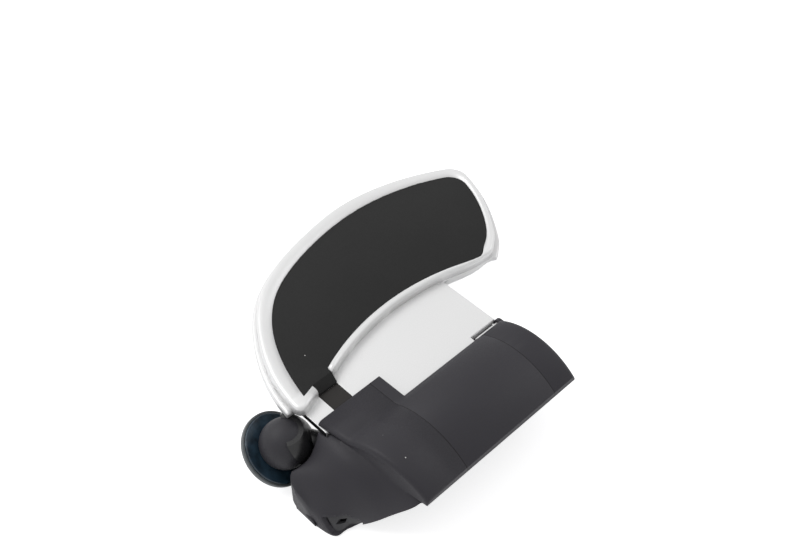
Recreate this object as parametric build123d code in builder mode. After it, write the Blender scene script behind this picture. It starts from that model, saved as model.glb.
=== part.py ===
"""Car phone mount: arched housing, telescopic plate with a crescent grip pad, and a ball-jointed foot.

Millimetres. X runs along the housing, +Y from the housing towards the crescent, +Z up.
The origin is a point on the housing's flat underside, under the arch.
"""
import math
import os

from build123d import *

os.makedirs("parts", exist_ok=True)

# ---------------------------------------------------------------- slide plate
PLATE_LEFT = -34.6
PLATE_RIGHT = 47.9
PLATE_THICK = 2.4
PLATE_TOP = 26.0
PLATE_INNER_END = -16.0      # the end that stays inside the housing
PLATE_HEAD_END = 56.0        # the end that is screwed into the crescent
HEAD_LEFT = -28.0            # the left edge draws in before it enters the crescent
HEAD_STEP_Y = 31.0
NECK_LEFT = -27.0            # the narrower part that runs in the rails
NECK_RIGHT = 34.6
SHOULDER_LEFT_Y = 17.0       # where the plate widens on the left, under the tab
EDGE_CHAMFER = 0.3
SLIDE_GAP = 0.3              # free play above, below and beside the plate
PLATE_TRAVEL = 24.0

# ---------------------------------------------------------------- housing covers
WALL = 1.8
BODY_LEFT = -34.3
END_SKEW = 6.5               # degrees; the arch's left end lies nearer the middle at the front
BODY_RIGHT = 49.0
CAP_LENGTH = 11.7
SEAM_X = -9.2                # between the left cover and the main cover
TAB_RIGHT = -4.4
TAB_REAR = 21.4
TAB_REAR_TOP = 27.9
TAB_TOP = 29.3               # where its slope meets the middle of the arch
TAB_BLEND = 6.0
REAR_Y, REAR_Z = 8.6, 27.8   # rear edge of the arch
PEAK_Y, PEAK_Z = -10.0, 33.4
FRONT_Y, FRONT_Z = -27.8, 26.0
CAP_ROUND = 2.0

# ---------------------------------------------------------------- nose of the left cover
# ribs of the hood, from its root to its tip: x, front edge of the keel, then (y, z) of the lower
# rim, of the crown and of the rear edge
NOSE_RIBS = (
    (-27.0, -6.0, (-25.6, 22.2), (4.0, 27.6), (20.8, 24.4)),
    (-30.6, -6.0, (-23.4, 19.6), (3.0, 27.0), (20.8, 24.2)),
    (-34.0, -6.0, (-19.2, 14.8), (2.0, 26.0), (20.8, 23.4)),
    (-38.0, -6.0, (-14.2, 9.0), (1.0, 23.8), (20.4, 20.4)),
    (-41.5, -5.4, (-9.2, 4.0), (2.0, 20.4), (20.0, 16.6)),
    (-45.7, -4.6, (-5.2, 0.8), (3.5, 16.0), (19.6, 15.6)),
    (-49.5, -4.4, (-4.8, 0.8), (5.0, 11.5), (19.4, 14.6)),
    (-51.6, -1.0, (-1.6, 0.9), (6.5, 9.0), (17.6, 13.0)),
    (-52.8, 4.0, (3.4, 1.2), (8.5, 6.6), (14.4, 10.2)))
NOSE_WALL = 2.0
RIM_SLANT = 1.6              # times the wall, measured along Y at the slanted rim
SHOULDER_ROUND = 2.0         # on the end of the arch, above the nose
POCKET_R = 12.4              # round the foot's joint, in the rear of the nose
POCKET_FLOOR = 13.0
RECESS_DEPTH = 1.6           # of the button's face under the hood, along X
# (y, z) of the button's window in the hood, seen along X
WINDOW = ((2.2, 6.8), (-4.3, 8.4), (-9.0, 5.0), (-9.0, 1.4), (-2.8, 1.4))
WINDOW_RIGHT = -34.0         # where the window ends inside the hood
BUTTON_HOLE_AT = (-3.3, 5.0)
BUTTON_HOLE = 1.8
BUTTON_HOLE_END = -44.0

# ---------------------------------------------------------------- base
BASE_LEFT = -28.2
BASE_RIGHT = 47.0
BASE_FRONT = -26.6
KEEL_FRONT = -6.0            # front edge of the flat underside
BASE_REAR = 20.0
APRON_REAR = 29.5            # the foot that reaches back under the plate
APRON_LEFT = -17.0
APRON_RIGHT = 46.0
APRON_TOP = 12.0
APRON_ROUND = 4.0
BASE_WALL = 2.5
BAY_LEFT = -25.9
BAY_RIGHT = 32.4

# ---------------------------------------------------------------- guide rails and pin
RAIL_FRONT = -14.0
RAIL_REAR = 3.0
RAIL_WEB = 0.9
RAIL_LIP = 1.6               # how far the lips reach over the plate
RAIL_LIP_THICK = 1.3
PIN_R = 1.5
PIN_Y = 9.2
PIN_SINK = 0.2               # how deep the pin lies in its groove in the base
PIN_LEFT = 35.6
PIN_EYE_WALL = 1.0           # of the eye in the end cap that holds the pin
PIN_SET_BACK = 0.5           # of the pin's end in the end cap
PIN_STOP_GAP = 1.0           # from the pin to the plate's right shoulder at rest

# ---------------------------------------------------------------- crescent
RIM_TOP = 30.2
POCKET_DEPTH = 2.0
PAD_THICK = 1.8
PAD_GAP = 0.15
BACK_BOTTOM = 20.5
BACK_FLARE = 2.2             # how far the back swells beyond the bezel
BACK_ROUND = 3.0
BACK_TOP_ROUND = 1.0
BEZEL_ROUND = 1.4
# bezel and pad: long outer curve, curve round the tip, middle and end of the hollow inner arc
BEZEL_RIM = ((-37.0, 27.0), (-35.6, 41.3), (-25.5, 65.4), (-8.2, 84.2), (19.6, 94.6), (46.0, 98.0),
             (70.0, 94.0), (99.0, 80.5))
BEZEL_TIP = ((99.0, 80.5), (93.6, 62.0), (84.4, 47.0), (72.6, 31.0))
BEZEL_HOLLOW = ((24.0, 42.0), (-16.5, 33.6))
PAD_RIM = ((-31.2, 32.4), (-26.6, 49.6), (-19.3, 64.1), (-8.2, 76.2), (17.8, 87.3), (41.2, 90.8),
           (64.5, 88.6), (94.5, 76.5))
PAD_TIP = ((94.5, 76.5), (88.3, 58.6), (80.0, 46.3), (67.6, 34.2))
PAD_HOLLOW = ((24.0, 44.5), (-16.2, 36.3))
RIM_STEPS, TIP_STEPS = 9, 4
TIP_ROUND = 9.0
HEEL_ROUND = 4.0
TAIL_ROUND = 3.0
SHELL = 2.0
TAPER_START, TAPER_END = 48.0, 70.0   # along X, where the back thins towards its tip
TIP_BOTTOM = 24.4
RELIEF_END = 33.0            # along Y; the back's tail is cut off square where it slides over the foot
STRIP_LEFT = -25.7
STRIP_WIDTH = 9.0
STRIP_DEPTH = 1.0
STRIP_INNER_END = -12.0
TONGUE_END = 31.0
TONGUE_ROOT = 40.0
TONGUE_RISE_END = 34.0       # where its sloping end reaches the pad's height
TONGUE_GAP = 0.35

# ---------------------------------------------------------------- rack, pawl and release button
TOOTH_PITCH = 2.0
TOOTH_DEPTH = 1.2
RACK_TEETH = 14
RACK_REAR = 13.0
RACK_LEFT = -23.0
RACK_WIDTH = 6.0
RACK_HEIGHT = 2.3
TOOTH_GAP = 0.15
PAWL_THICK = 5.0
PAWL_PIVOT_Y, PAWL_PIVOT_Z = 2.0, 13.0
PAWL_PIN_R = 1.2
PAWL_HUB_R = 3.0
PAWL_SWING = 10.0            # degrees, from locked to released
TAIL_REACH = 5.5
TAIL_HALF = 1.2              # half the width of the pawl's tail
PIN_FIT = 0.05
EAR_THICK = 2.0
ROD_R = 1.5
ROD_Z = 6.5
ROD_FIT = 0.1
BUTTON_TRAVEL = 2.5
BUTTON_THICK = 1.8
STOP_COLLAR_R = 2.2
COLLAR_THICK = 0.6
WIRE_R = 0.3
WIRE_SIDES = 6
SPRING_R = 2.3
BUTTON_SPRING_LENGTH = 9.0

# ---------------------------------------------------------------- foot
# a hollow half ball under a cup; the axes run from the ball's centre to the disc, along the stem
# to the housing, and square to the cup's rim
BALL_AT = (-43.2, 30.3, 14.8)
FOOT_AXIS = (-0.30, 0.525, -0.79)
STEM_AXIS = (0.785, -0.591, 0.177)
CUP_AXIS = (0.79, -0.45, 0.41)
FOOT_TILT = 20.0
DOME_R = 9.7
DOME_WALL = 2.2
DOME_END = 4.7
MOUTH_ANGLE = 32.0           # half the opening that the stem swings in
FOLLOWER_START = 2.0
BALL_FIT = 0.1
STEM_R = 2.5
STEM_END = 10.5
SEAT_START = 6.0
SEAT_THICK = 0.5
CUP_RIM = 3.3
CUP_WALL = 0.6               # behind the seat
CUP_TOP = 23.0               # flat, where the crescent slides over it
ELBOW_AT = 9.0
ARM_R = 3.6
ARM_END = (-26.2, 13.3, 11.7)
ARM_BOSS_WALL = 1.6
HUB_R = 8.2
HUB_TOP = 4.4
HUB_THICK = 0.3
JOURNAL_R = 3.0
RIVET_R = 4.2
RIVET_THICK = 0.6
TURN_GAP = 0.05
DISC_R = 13.6
DISC_THICK = 1.4
DISC_ROUND = 0.5
SKIRT_WALL = 0.9
SKIRT_DEPTH = 2.1
GEL_R = 12.4
GEL_THICK = 1.2
GEL_ROUND = 0.6

# ---------------------------------------------------------------- screws
SCREW_R = 1.25
HEAD_R = 2.3
HEAD_HEIGHT = 1.6
HEAD_FIT = 0.3
THREAD_FIT = 0.05
THREAD_GAP = 0.2             # below the tip of a screw
THREAD_DEPTH = 4.0           # of the housing's screws in their bosses
BOSS_R = 2.9
FRONT_SCREWS = (-20.0, 12.0, 42.0)
FRONT_SCREW_Y = -21.5
FRONT_SEAT_Z = 20.3          # where the screws' heads bear
SIDE_SCREW = (42.0, 1.0)
HEAD_SCREWS = ((-6.0, 51.0), (16.0, 52.5), (38.0, 51.0))
HEAD_SEAT_Z = 22.3

# values that follow
PLATE_BOTTOM = PLATE_TOP - PLATE_THICK
BASE_TOP = PLATE_BOTTOM - SLIDE_GAP
CHANNEL_TOP = PLATE_TOP + SLIDE_GAP
CAP_LEFT = BODY_RIGHT - CAP_LENGTH
SHOULDER_RIGHT_Y = PIN_Y + PIN_R + PIN_STOP_GAP
PIN_Z = BASE_TOP + PIN_R - PIN_SINK
PAD_FLOOR = RIM_TOP - POCKET_DEPTH
RACK_FRONT = RACK_REAR - RACK_TEETH * TOOTH_PITCH
PAWL_TOOTH_Y = RACK_REAR - TOOTH_PITCH
PAWL_X = RACK_LEFT + RACK_WIDTH / 2
ROD_Y = PAWL_PIVOT_Y - TAIL_REACH
WEDGE_RISE = TAIL_REACH * math.sin(math.radians(PAWL_SWING))
PAWL_SPRING_HEIGHT = PAWL_PIVOT_Z - BASE_WALL
BUTTON_SPRING_START = BASE_LEFT - BUTTON_SPRING_LENGTH
DOME_HOLLOW_R = DOME_R - DOME_WALL
CUP_HOLLOW_R = DOME_R + BALL_FIT
SEAT_R = CUP_HOLLOW_R + SEAT_THICK
CUP_R = SEAT_R + CUP_WALL
DISC_TOP = DOME_END + HUB_THICK + TURN_GAP
DISC_BOTTOM = DISC_TOP + DISC_THICK
BEZEL_CURVES, PAD_CURVES = (
    [Spline(*rim), Spline(*tip), ThreePointArc(tip[-1], *hollow), Line(hollow[1], rim[0])]
    for rim, tip, hollow in ((BEZEL_RIM, BEZEL_TIP, BEZEL_HOLLOW), (PAD_RIM, PAD_TIP, PAD_HOLLOW)))
ARCH = ThreePointArc((REAR_Y, REAR_Z), (PEAK_Y, PEAK_Z), (FRONT_Y, FRONT_Z))
ARCH_R = ARCH.radius
ARCH_Y, ARCH_Z = ARCH.arc_center.X, ARCH.arc_center.Y
FOOT_PLANE = Plane(BALL_AT, z_dir=FOOT_AXIS)
STEM_PLANE = Plane(BALL_AT, z_dir=STEM_AXIS)
CUP_PLANE = Plane(BALL_AT, z_dir=CUP_AXIS)
TILT_AXIS = Axis(BALL_AT, -FOOT_PLANE.z_dir.cross(STEM_PLANE.z_dir))
MOUTH_PLANE = Plane(BALL_AT, z_dir=STEM_PLANE.z_dir.rotate(TILT_AXIS, -FOOT_TILT / 2))
ELBOW = STEM_PLANE.offset(ELBOW_AT).origin
ARM = Vector(*ARM_END) - ELBOW
ARM_PLANE = Plane(ELBOW, z_dir=ARM)


def arch_z(y, inset=0.0):
    """Height of the arch above y, or of its inner wall when inset."""
    radius = ARCH_R - inset
    return ARCH_Z + math.sqrt(radius ** 2 - (y - ARCH_Y) ** 2)


def save(part, name):
    part.label = name
    export_step(part, f"parts/{name}.step")


def arch_section(x):
    """Outer outline of the housing at x, from the base's top edge up."""
    with BuildSketch(Plane.YZ.offset(x)) as section:
        with BuildLine():
            arc = ThreePointArc((REAR_Y, REAR_Z), (PEAK_Y, PEAK_Z), (FRONT_Y, FRONT_Z))
            Polyline(arc @ 1, (FRONT_Y, BASE_TOP), (REAR_Y, BASE_TOP), arc @ 0)
        make_face()
    return section.sketch


def hollow_section(x):
    """Room under the arch: its inner wall, and the channel that the plate runs in."""
    front = FRONT_Y + WALL
    inner_rear = REAR_Y - WALL
    with BuildSketch(Plane.YZ.offset(x)) as section:
        with BuildLine():
            arc = ThreePointArc(
                (inner_rear, arch_z(inner_rear, WALL)),
                (PEAK_Y, arch_z(PEAK_Y, WALL)),
                (front, arch_z(front, WALL)))
            Polyline(arc @ 1, (front, BASE_TOP - 1), (inner_rear, BASE_TOP - 1), arc @ 0)
        make_face()
        with BuildLine():
            Polyline((front, BASE_TOP - 1), (REAR_Y + 1, BASE_TOP - 1), (REAR_Y + 1, CHANNEL_TOP),
                     (front, CHANNEL_TOP), close=True)
        make_face()
    return section.sketch


def tab_section(x):
    """The arch with the flat tab that reaches back over the plate, blended into it."""
    with BuildSketch(Plane.YZ.offset(x)) as section:
        with BuildLine():
            arc = ThreePointArc((REAR_Y, REAR_Z), (PEAK_Y, PEAK_Z), (FRONT_Y, FRONT_Z))
            Polyline(arc @ 1, (FRONT_Y, BASE_TOP), (REAR_Y, BASE_TOP), arc @ 0)
        make_face()
        with BuildLine():
            Polyline((PEAK_Y, CHANNEL_TOP), (TAB_REAR, CHANNEL_TOP), (TAB_REAR, TAB_REAR_TOP),
                     (PEAK_Y, TAB_TOP), close=True)
        make_face()
        crease = section.vertices().sort_by_distance((REAR_Y - 1.5, TAB_TOP))[0]
        fillet(crease, TAB_BLEND)
    return section.sketch


def screw_boss(x, y):
    """Add a boss that stops inside the arch's wall, with its screw's hole, to the cover being built."""
    top = min(arch_z(y - BOSS_R, WALL / 2), arch_z(y + BOSS_R, WALL / 2))
    with Locations((x, y, BASE_TOP)):
        Cylinder(BOSS_R, top - BASE_TOP, align=(Align.CENTER, Align.CENTER, Align.MIN))
        Cylinder(SCREW_R + THREAD_FIT, THREAD_DEPTH + 1, align=(Align.CENTER, Align.CENTER, Align.MIN),
                 mode=Mode.SUBTRACT)


def nose_section(rib, wall=0.0):
    """One rib of the hood: keel, undercut front, domed top and upright rear, or the room inside it."""
    x, keel_y, (front_y, front_z), (crown_y, crown_z), (rear_y, rear_z) = rib
    with BuildSketch(Plane.YZ.offset(x + wall)) as section:
        with BuildLine():
            top = ThreePointArc((rear_y - wall, rear_z - wall), (crown_y, crown_z - wall),
                                (front_y + RIM_SLANT * wall, max(front_z, RIM_SLANT * wall)))
            Polyline(top @ 1, (keel_y + RIM_SLANT * wall, wall), (rear_y - wall, wall), top @ 0)
        make_face()
    return section.sketch


def nose_form(wall=0.0):
    """The hood's outer form, or the room that walls of that thickness leave in it."""
    return loft([nose_section(rib, wall) for rib in NOSE_RIBS], mode=Mode.PRIVATE)


def window_prism(end, gap=0.0):
    """The button's window, run along X through the hood to end, or a plug that clears it by gap."""
    with BuildPart() as prism:
        with BuildSketch(Plane.YZ.offset(NOSE_RIBS[-1][0] - 1)):
            Polygon(*WINDOW, align=None)
            if gap:
                offset(amount=-gap, kind=Kind.INTERSECTION)
        extrude(amount=end - NOSE_RIBS[-1][0] + 1)
    return prism.part


def ball_cap(plane, start, radius, hollow=0.0):
    """The part of a ball, solid or hollow, that lies further than start along the plane's normal."""
    with BuildPart() as cap:
        with BuildSketch(Plane(plane.origin, x_dir=plane.x_dir, z_dir=-plane.y_dir)):
            Circle(radius)
            if hollow:
                Circle(hollow, mode=Mode.SUBTRACT)
            with Locations((0, start)):
                Rectangle(radius, radius, align=(Align.MIN, Align.MIN), mode=Mode.INTERSECT)
        revolve(axis=Axis(plane.origin, plane.z_dir))
    return cap.part


def outward(tangent):
    """The outline runs clockwise, so its outer side is on the left."""
    return Vector(-tangent.Y, tangent.X)


def crescent_outline(curves, rounds, height, grow=0.0):
    """The closed run of curves, moved outwards by grow, with its first three corners rounded."""
    corners = []
    for arriving, leaving in zip(curves[-1:] + curves[:-1], curves):
        side_a, side_b = outward(arriving % 1), outward(leaving % 0)
        corners.append((leaving @ 0) + (side_a + side_b) * (grow / (1 + side_a.dot(side_b))))
    rim_points, tip_points = (
        [(curve @ (step / count)) + outward(curve % (step / count)) * grow for step in range(1, count)]
        for curve, count in zip(curves[:2], (RIM_STEPS, TIP_STEPS)))
    hollow = curves[2]
    with BuildSketch(Plane.XY.offset(height)) as outline:
        with BuildLine():
            Spline(corners[0], *rim_points, corners[1])
            Spline(corners[1], *tip_points, corners[2])
            ThreePointArc(corners[2], (hollow @ 0.5) + outward(hollow % 0.5) * grow, corners[3])
            Line(corners[3], corners[0])
        make_face()
        for corner, radius in zip(corners[1:] + corners[:1], rounds):
            if radius:
                fillet(outline.vertices().sort_by_distance((corner.X, corner.Y))[0], radius)
    return outline.sketch


def bezel_outline(height, grow=0.0):
    rounds = (TIP_ROUND + grow, HEEL_ROUND + grow, 0, TAIL_ROUND + grow)
    return crescent_outline(BEZEL_CURVES, rounds, height, grow)


def pad_outline(height, grow=0.0):
    return crescent_outline(PAD_CURVES, (TIP_ROUND - 1, HEEL_ROUND - 1), height, grow)


# ================================================================ housing covers
with BuildPart() as main_cover:
    extrude(arch_section(TAB_RIGHT), amount=CAP_LEFT - TAB_RIGHT)
    extrude(tab_section(SEAM_X), amount=TAB_RIGHT - SEAM_X)
    extrude(hollow_section(SEAM_X - 1), amount=CAP_LEFT - SEAM_X + 2, mode=Mode.SUBTRACT)
    screw_boss(FRONT_SCREWS[1], FRONT_SCREW_Y)
save(main_cover.part, "main_cover")

with BuildPart() as end_cap:
    extrude(arch_section(CAP_LEFT), amount=CAP_LENGTH)
    cap_end = end_cap.faces().sort_by(Axis.X)[-1]
    fillet(cap_end.edges().filter_by(GeomType.CIRCLE), CAP_ROUND)
    extrude(hollow_section(CAP_LEFT - 1), amount=CAP_LENGTH + 1 - WALL, mode=Mode.SUBTRACT)
    with BuildSketch(Plane.YZ.offset(BODY_RIGHT - WALL)):
        with Locations((PIN_Y, PIN_Z)):
            Circle(PIN_R + PIN_EYE_WALL)
        with Locations((PIN_Y - PIN_R, PIN_Z)):
            Rectangle(2 * PIN_R, 2 * (PIN_R + PIN_EYE_WALL))
    extrude(amount=WALL)
    for screw in ((FRONT_SCREWS[2], FRONT_SCREW_Y), SIDE_SCREW):
        screw_boss(*screw)
    with BuildSketch(Plane.YZ.offset(BODY_RIGHT)):
        with Locations((PIN_Y, PIN_Z)):
            Circle(PIN_R + THREAD_FIT)
    extrude(amount=-2 * WALL, mode=Mode.SUBTRACT)
save(end_cap.part, "end_cap")

end_plane = Plane((BODY_LEFT, TAB_REAR, 0), z_dir=(math.cos(math.radians(END_SKEW)),
                                                    math.sin(math.radians(END_SKEW)), 0))
with BuildPart() as nose_room:
    add(nose_form(NOSE_WALL))
    with Locations((BALL_AT[0], BALL_AT[1], POCKET_FLOOR - NOSE_WALL)):
        Cylinder(POCKET_R + NOSE_WALL, BASE_TOP, align=(Align.CENTER, Align.CENTER, Align.MIN),
                 mode=Mode.SUBTRACT)

with BuildPart() as arch_room:
    extrude(hollow_section(BODY_LEFT), amount=SEAM_X - BODY_LEFT)
    split(bisect_by=end_plane.offset(WALL), keep=Keep.TOP)

with BuildPart() as left_cover:
    extrude(tab_section(BODY_LEFT), amount=SEAM_X - BODY_LEFT)
    split(bisect_by=end_plane, keep=Keep.TOP)
    end_edges = left_cover.faces().sort_by(Axis.X)[0].edges()
    fillet(end_edges.filter_by_position(Axis.Z, TAB_REAR_TOP, PEAK_Z), SHOULDER_ROUND)
    add(nose_form())
    add(nose_room.part, mode=Mode.SUBTRACT)
    add(arch_room.part, mode=Mode.SUBTRACT)
    screw_boss(FRONT_SCREWS[0], FRONT_SCREW_Y)
    # the base stands inside the cover
    with Locations((BASE_LEFT - SLIDE_GAP / 3, 0, BASE_TOP)):
        Box(SEAM_X - BASE_LEFT + 2, 3 * BODY_RIGHT, 2 * BASE_TOP, align=(Align.MIN, Align.CENTER, Align.MAX),
            mode=Mode.SUBTRACT)
    # room for the plate: its neck, and the wing that passes over the nose
    for left, front in ((NECK_LEFT, REAR_Y), (PLATE_LEFT, SHOULDER_LEFT_Y - PIN_STOP_GAP)):
        with Locations((left - SLIDE_GAP, front, BASE_TOP)):
            Box(SEAM_X - left, BASE_REAR, CHANNEL_TOP - BASE_TOP, align=(Align.MIN, Align.MIN, Align.MIN),
                mode=Mode.SUBTRACT)
    # pocket for the foot's joint, and the way in for its arm
    with Locations((BALL_AT[0], BALL_AT[1], POCKET_FLOOR)):
        Cylinder(POCKET_R, BASE_TOP, align=(Align.CENTER, Align.CENTER, Align.MIN), mode=Mode.SUBTRACT)
    with BuildSketch(ARM_PLANE):
        Circle(ARM_R + SLIDE_GAP)
    extrude(amount=ARM.length, mode=Mode.SUBTRACT)
    with Locations(BALL_AT):
        Sphere(CUP_R + SLIDE_GAP, mode=Mode.SUBTRACT)
    add(window_prism(WINDOW_RIGHT), mode=Mode.SUBTRACT)
save(left_cover.part, "left_cover")

# ================================================================ base
with BuildPart() as base_bay:
    with BuildSketch(Plane.YZ.offset(BAY_LEFT)):
        with BuildLine():
            Polyline((BASE_FRONT + 2 * BASE_WALL, BASE_TOP), (KEEL_FRONT + BASE_WALL, BASE_WALL),
                     (BASE_REAR - BASE_WALL, BASE_WALL), (BASE_REAR - BASE_WALL, BASE_TOP), close=True)
        make_face()
    extrude(amount=BAY_RIGHT - BAY_LEFT)
    with Locations([(x, FRONT_SCREW_Y, BASE_TOP) for x in FRONT_SCREWS]):
        Cylinder(BOSS_R, BASE_TOP, align=(Align.CENTER, Align.CENTER, Align.MAX), mode=Mode.SUBTRACT)

with BuildPart() as arm_boss:
    with BuildSketch(ARM_PLANE):
        Circle(ARM_R + ARM_BOSS_WALL)
    extrude(amount=ARM.length + ARM_BOSS_WALL)
    with Locations((BASE_LEFT, BASE_REAR, 0)):
        Box(BASE_RIGHT - BASE_LEFT, BASE_REAR, BASE_TOP, align=(Align.MIN, Align.MAX, Align.MIN),
            mode=Mode.INTERSECT)

with BuildPart() as base_housing:
    with BuildSketch(Plane.YZ.offset(BASE_LEFT)):
        with BuildLine():
            Polyline((BASE_FRONT, BASE_TOP), (KEEL_FRONT, 0), (BASE_REAR, 0), (BASE_REAR, BASE_TOP),
                     close=True)
        make_face()
    extrude(amount=BASE_RIGHT - BASE_LEFT)
    with Locations((APRON_LEFT, BASE_REAR - BASE_WALL, 0)):
        Box(APRON_RIGHT - APRON_LEFT, APRON_REAR - BASE_REAR + BASE_WALL, APRON_TOP,
            align=(Align.MIN, Align.MIN, Align.MIN))
    apron_edge = base_housing.edges().filter_by(Axis.X).group_by(Axis.Y)[-1].sort_by(Axis.Z)[-1]
    fillet(apron_edge, APRON_ROUND)
    add(base_bay.part, mode=Mode.SUBTRACT)
    add(arm_boss.part)
    # seats for the guide rails
    for inner_x, outer_x in ((NECK_LEFT + RAIL_LIP, NECK_LEFT - SLIDE_GAP - RAIL_WEB),
                             (NECK_RIGHT - RAIL_LIP, NECK_RIGHT + SLIDE_GAP + RAIL_WEB)):
        with Locations(((inner_x + outer_x) / 2, (RAIL_FRONT + RAIL_REAR) / 2, BASE_TOP)):
            Box(abs(outer_x - inner_x), RAIL_REAR - RAIL_FRONT, RAIL_LIP_THICK,
                align=(Align.CENTER, Align.CENTER, Align.MAX), mode=Mode.SUBTRACT)
    # the rack's way out through the rear wall
    with Locations((PAWL_X, BASE_REAR - 2 * BASE_WALL, BASE_TOP)):
        Box(RACK_WIDTH + 2 * SLIDE_GAP, 4 * BASE_WALL, RACK_HEIGHT,
            align=(Align.CENTER, Align.MIN, Align.MAX), mode=Mode.SUBTRACT)
    # ears that carry the pawl's pin
    ear_left = PAWL_X - PAWL_THICK / 2 - SLIDE_GAP - EAR_THICK
    ear_right = PAWL_X + PAWL_THICK / 2 + SLIDE_GAP
    for ear_x in (ear_left, ear_right):
        with BuildSketch(Plane.YZ.offset(ear_x)):
            with Locations((PAWL_PIVOT_Y, PAWL_PIVOT_Z)):
                Circle(PAWL_HUB_R)
            with Locations((PAWL_PIVOT_Y, 0)):
                Rectangle(2 * PAWL_HUB_R, PAWL_PIVOT_Z, align=(Align.CENTER, Align.MIN))
        extrude(amount=EAR_THICK)
    with BuildSketch(Plane.YZ.offset(ear_left)):
        with Locations((PAWL_PIVOT_Y, PAWL_PIVOT_Z)):
            Circle(PAWL_PIN_R)
    extrude(amount=ear_right + EAR_THICK - ear_left, mode=Mode.SUBTRACT)
    with BuildSketch(Plane.YZ.offset(BASE_LEFT)):
        with Locations((ROD_Y, ROD_Z)):
            Circle(ROD_R + ROD_FIT)
    extrude(amount=BAY_LEFT - BASE_LEFT, mode=Mode.SUBTRACT)
    # groove for the guide pin
    with BuildSketch(Plane.YZ.offset(PIN_LEFT)):
        with Locations((PIN_Y, PIN_Z)):
            Circle(PIN_R + THREAD_FIT)
    extrude(amount=BASE_RIGHT - PIN_LEFT, mode=Mode.SUBTRACT)
    # socket for the foot's arm
    with BuildSketch(ARM_PLANE):
        Circle(ARM_R)
    extrude(amount=ARM.length, mode=Mode.SUBTRACT)
    # screw holes from below
    with Locations([(x, FRONT_SCREW_Y, BASE_TOP) for x in FRONT_SCREWS] + [(*SIDE_SCREW, BASE_TOP)]):
        Cylinder(SCREW_R + HEAD_FIT, BASE_TOP, align=(Align.CENTER, Align.CENTER, Align.MAX),
                 mode=Mode.SUBTRACT)
    with Locations([(x, FRONT_SCREW_Y, FRONT_SEAT_Z) for x in FRONT_SCREWS] + [(*SIDE_SCREW, FRONT_SEAT_Z)]):
        Cylinder(HEAD_R + HEAD_FIT, FRONT_SEAT_Z, align=(Align.CENTER, Align.CENTER, Align.MAX),
                 mode=Mode.SUBTRACT)
save(base_housing.part, "base_housing")

for name, neck, side in (("guide_rail_left", NECK_LEFT, -1), ("guide_rail_right", NECK_RIGHT, 1)):
    web_inner = neck + side * SLIDE_GAP
    web_outer = web_inner + side * RAIL_WEB
    lip_end = neck - side * RAIL_LIP
    with BuildPart() as guide_rail:
        with BuildSketch(Plane.XZ.offset(-RAIL_FRONT)):
            with BuildLine():
                Polyline((web_outer, BASE_TOP - RAIL_LIP_THICK), (web_outer, CHANNEL_TOP + RAIL_LIP_THICK),
                         (lip_end, CHANNEL_TOP + RAIL_LIP_THICK), (lip_end, CHANNEL_TOP),
                         (web_inner, CHANNEL_TOP), (web_inner, BASE_TOP), (lip_end, BASE_TOP),
                         (lip_end, BASE_TOP - RAIL_LIP_THICK), close=True)
            make_face()
        extrude(amount=RAIL_FRONT - RAIL_REAR)
    save(guide_rail.part, name)

with BuildPart() as guide_pin:
    with BuildSketch(Plane.YZ.offset(PIN_LEFT)):
        with Locations((PIN_Y, PIN_Z)):
            Circle(PIN_R)
    extrude(amount=BODY_RIGHT - PIN_SET_BACK - PIN_LEFT)
    chamfer(guide_pin.faces().filter_by(Axis.X).edges(), EDGE_CHAMFER)
save(guide_pin.part, "guide_pin")

# ================================================================ slide plate
with BuildPart() as slide_plate:
    with BuildSketch(Plane.XY.offset(PLATE_BOTTOM)):
        with BuildLine():
            Polyline((NECK_LEFT, PLATE_INNER_END), (NECK_RIGHT, PLATE_INNER_END),
                     (NECK_RIGHT, SHOULDER_RIGHT_Y), (PLATE_RIGHT, SHOULDER_RIGHT_Y),
                     (PLATE_RIGHT, PLATE_HEAD_END), (HEAD_LEFT, PLATE_HEAD_END),
                     (HEAD_LEFT, HEAD_STEP_Y), (PLATE_LEFT, HEAD_STEP_Y),
                     (PLATE_LEFT, SHOULDER_LEFT_Y), (NECK_LEFT, SHOULDER_LEFT_Y), close=True)
        make_face()
        with Locations(*HEAD_SCREWS):
            Circle(SCREW_R + HEAD_FIT, mode=Mode.SUBTRACT)
    extrude(amount=PLATE_THICK)
    chamfer(slide_plate.faces().sort_by(Axis.Z)[-1].outer_wire().edges(), EDGE_CHAMFER)
    with Locations((STRIP_LEFT, STRIP_INNER_END, PLATE_TOP)):
        Box(STRIP_WIDTH, TONGUE_END - STRIP_INNER_END, STRIP_DEPTH,
            align=(Align.MIN, Align.MIN, Align.MAX), mode=Mode.SUBTRACT)
save(slide_plate.part, "slide_plate")

with BuildPart() as tail_strip:
    with Locations((STRIP_LEFT, STRIP_INNER_END, PLATE_TOP)):
        Box(STRIP_WIDTH, TONGUE_END - STRIP_INNER_END, STRIP_DEPTH,
            align=(Align.MIN, Align.MIN, Align.MAX))
save(tail_strip.part, "tail_strip")

# ================================================================ crescent
with BuildPart() as back_taper:
    with BuildSketch(Plane.XZ):
        with BuildLine():
            Polyline((TAPER_START, BACK_BOTTOM - 1), (2 * TAPER_END, BACK_BOTTOM - 1),
                     (2 * TAPER_END, TIP_BOTTOM), (TAPER_END, TIP_BOTTOM),
                     (TAPER_START, BACK_BOTTOM), close=True)
        make_face()
    extrude(amount=-2 * TAPER_END)

with BuildPart() as back_hollow:
    extrude(bezel_outline(BACK_BOTTOM + SHELL, -SHELL), amount=PLATE_TOP - BACK_BOTTOM)
    add(back_taper.part.moved(Location((0, 0, SHELL))), mode=Mode.SUBTRACT)

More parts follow.
